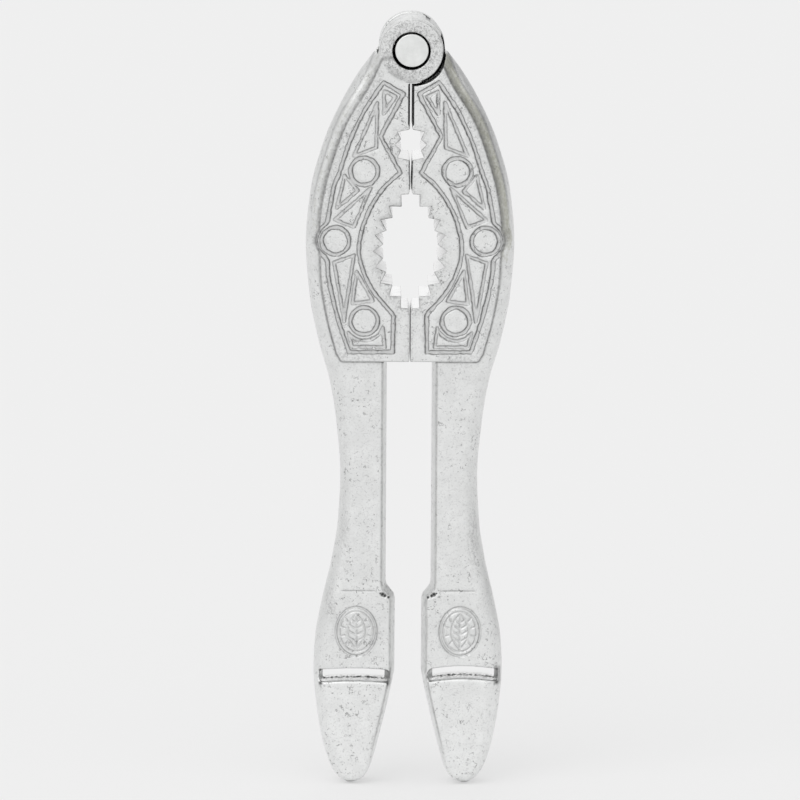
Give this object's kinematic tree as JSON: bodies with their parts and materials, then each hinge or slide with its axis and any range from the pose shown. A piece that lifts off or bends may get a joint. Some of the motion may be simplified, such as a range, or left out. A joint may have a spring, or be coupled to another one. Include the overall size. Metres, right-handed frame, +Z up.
{
  "type": "nutcracker",
  "caption": "Cast aluminium hand nutcracker: two levers on a pivot pin, with two toothed nut holes, ornamented head panels and a slot through each grip.",
  "frame": {"origin": "centre of the surface it stands on, under the pivot and between the two handle tips", "axes": "+Z up along the tool from the handle tips to the pivot, +Y to the back, so the front faces -Y; +X from the left lever to the right lever"},
  "size_m": [0.0474, 0.014, 0.1774],
  "materials": {
    "cast_aluminium": "tumbled satin casting",
    "pin_aluminium": "smooth satin"
  },
  "bodies": {
    "left": {"left_lever": "cast_aluminium", "pivot_pin": "pin_aluminium"},
    "right": {"right_lever": "cast_aluminium"}
  },
  "joints": [
    {"name": "pivot", "type": "hinge", "parent": "left", "child": "right", "pos_m": [0, 0, 0.1698], "axis": [0, -1, 0], "range_deg": [0, 180]}
  ]
}
